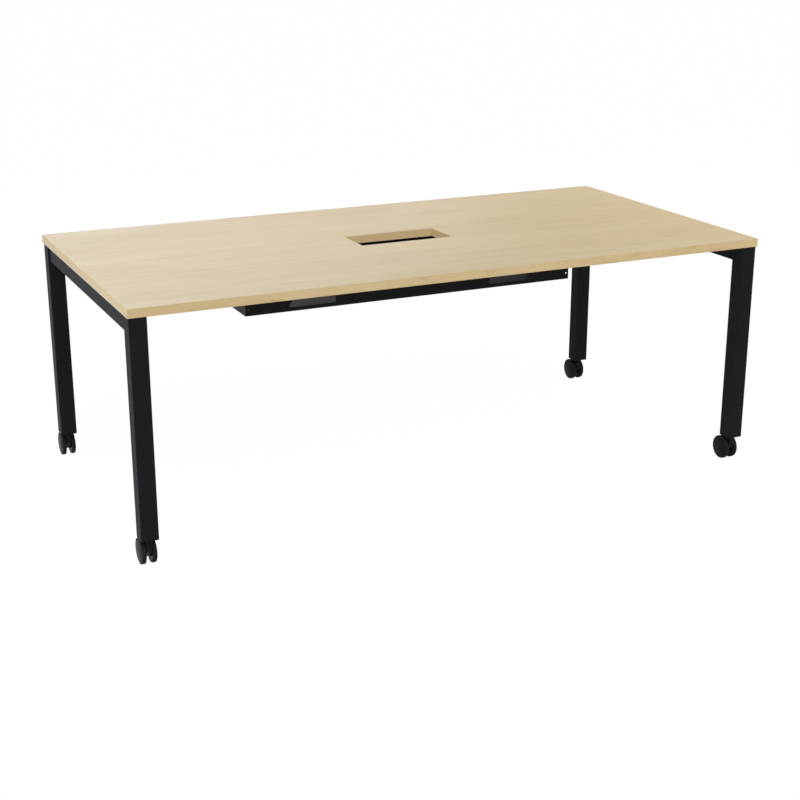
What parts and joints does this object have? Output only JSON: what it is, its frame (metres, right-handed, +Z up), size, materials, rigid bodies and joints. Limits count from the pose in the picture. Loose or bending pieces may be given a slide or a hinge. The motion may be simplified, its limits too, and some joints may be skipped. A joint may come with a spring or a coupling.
{
  "type": "office table",
  "caption": "Long rectangular office table on swivel casters, with a light wood top, a cable cut-out, a black steel frame and a cable tray below.",
  "frame": {"origin": "on the floor, under the middle of the top", "axes": "+X along the table to its right end, +Y to its back, +Z up"},
  "size_m": [2, 1.033, 0.735],
  "materials": {
    "wood_decor": "matt light wood decor",
    "frame_paint": "black powder coat",
    "tray_paint": "black powder coat",
    "caster_plastic": "moulded black nylon",
    "tyre_rubber": "matt black tread",
    "washer_nylon": "natural nylon",
    "bare_steel": "zinc plated"
  },
  "bodies": {
    "table": {"beam_bolts": "bare_steel", "beam_lugs": "frame_paint", "beam_plate_back_left": "frame_paint", "beam_plate_back_right": "frame_paint", "beam_plate_front_left": "frame_paint", "beam_plate_front_right": "frame_paint", "cable_tray": "tray_paint", "caster_stem_back_left": "bare_steel", "caster_stem_back_right": "bare_steel", "caster_stem_front_left": "bare_steel", "caster_stem_front_right": "bare_steel", "cutout_band": "wood_decor", "edge_band_back": "wood_decor", "edge_band_front": "wood_decor", "edge_band_left": "wood_decor", "edge_band_right": "wood_decor", "end_rail_left": "frame_paint", "end_rail_right": "frame_paint", "foot_plug_back_left": "caster_plastic", "foot_plug_back_right": "caster_plastic", "foot_plug_front_left": "caster_plastic", "foot_plug_front_right": "caster_plastic", "leg_back_left": "frame_paint", "leg_back_right": "frame_paint", "leg_front_left": "frame_paint", "leg_front_right": "frame_paint", "long_beam_back": "frame_paint", "long_beam_front": "frame_paint", "rail_lugs": "frame_paint", "thrust_washers": "washer_nylon", "top_panel": "wood_decor", "top_screws": "bare_steel", "tray_screws": "bare_steel", "weld_nuts": "bare_steel"},
    "caster_front_left": {"caster_housing_front_left": "caster_plastic", "caster_axle_front_left": "bare_steel"},
    "caster_front_left_wheel_left": {"wheel_front_left_left": "caster_plastic", "tyre_front_left_left": "tyre_rubber"},
    "caster_front_left_wheel_right": {"wheel_front_left_right": "caster_plastic", "tyre_front_left_right": "tyre_rubber"},
    "caster_front_right": {"caster_housing_front_right": "caster_plastic", "caster_axle_front_right": "bare_steel"},
    "caster_front_right_wheel_left": {"wheel_front_right_left": "caster_plastic", "tyre_front_right_left": "tyre_rubber"},
    "caster_front_right_wheel_right": {"wheel_front_right_right": "caster_plastic", "tyre_front_right_right": "tyre_rubber"},
    "caster_back_left": {"caster_housing_back_left": "caster_plastic", "caster_axle_back_left": "bare_steel"},
    "caster_back_left_wheel_left": {"wheel_back_left_left": "caster_plastic", "tyre_back_left_left": "tyre_rubber"},
    "caster_back_left_wheel_right": {"wheel_back_left_right": "caster_plastic", "tyre_back_left_right": "tyre_rubber"},
    "caster_back_right": {"caster_housing_back_right": "caster_plastic", "caster_axle_back_right": "bare_steel"},
    "caster_back_right_wheel_left": {"wheel_back_right_left": "caster_plastic", "tyre_back_right_left": "tyre_rubber"},
    "caster_back_right_wheel_right": {"wheel_back_right_right": "caster_plastic", "tyre_back_right_right": "tyre_rubber"}
  },
  "joints": [
    {"name": "front_left_swivel", "type": "hinge", "parent": "table", "child": "caster_front_left", "pos_m": [-0.9715, -0.4715, 0.0785], "axis": [0, 0, 1], "continuous": true},
    {"name": "front_left_roll_left", "type": "hinge", "parent": "caster_front_left", "child": "caster_front_left_wheel_left", "pos_m": [-0.9715, -0.4475, 0.0375], "axis": [1, 0, 0], "continuous": true},
    {"name": "front_left_roll_right", "type": "hinge", "parent": "caster_front_left", "child": "caster_front_left_wheel_right", "pos_m": [-0.9715, -0.4475, 0.0375], "axis": [1, 0, 0], "continuous": true},
    {"name": "front_right_swivel", "type": "hinge", "parent": "table", "child": "caster_front_right", "pos_m": [0.9715, -0.4715, 0.0785], "axis": [0, 0, 1], "continuous": true},
    {"name": "front_right_roll_left", "type": "hinge", "parent": "caster_front_right", "child": "caster_front_right_wheel_left", "pos_m": [0.9715, -0.4475, 0.0375], "axis": [1, 0, 0], "continuous": true},
    {"name": "front_right_roll_right", "type": "hinge", "parent": "caster_front_right", "child": "caster_front_right_wheel_right", "pos_m": [0.9715, -0.4475, 0.0375], "axis": [1, 0, 0], "continuous": true},
    {"name": "back_left_swivel", "type": "hinge", "parent": "table", "child": "caster_back_left", "pos_m": [-0.9715, 0.4715, 0.0785], "axis": [0, 0, 1], "continuous": true},
    {"name": "back_left_roll_left", "type": "hinge", "parent": "caster_back_left", "child": "caster_back_left_wheel_left", "pos_m": [-0.9715, 0.4955, 0.0375], "axis": [1, 0, 0], "continuous": true},
    {"name": "back_left_roll_right", "type": "hinge", "parent": "caster_back_left", "child": "caster_back_left_wheel_right", "pos_m": [-0.9715, 0.4955, 0.0375], "axis": [1, 0, 0], "continuous": true},
    {"name": "back_right_swivel", "type": "hinge", "parent": "table", "child": "caster_back_right", "pos_m": [0.9715, 0.4715, 0.0785], "axis": [0, 0, 1], "continuous": true},
    {"name": "back_right_roll_left", "type": "hinge", "parent": "caster_back_right", "child": "caster_back_right_wheel_left", "pos_m": [0.9715, 0.4955, 0.0375], "axis": [1, 0, 0], "continuous": true},
    {"name": "back_right_roll_right", "type": "hinge", "parent": "caster_back_right", "child": "caster_back_right_wheel_right", "pos_m": [0.9715, 0.4955, 0.0375], "axis": [1, 0, 0], "continuous": true}
  ]
}
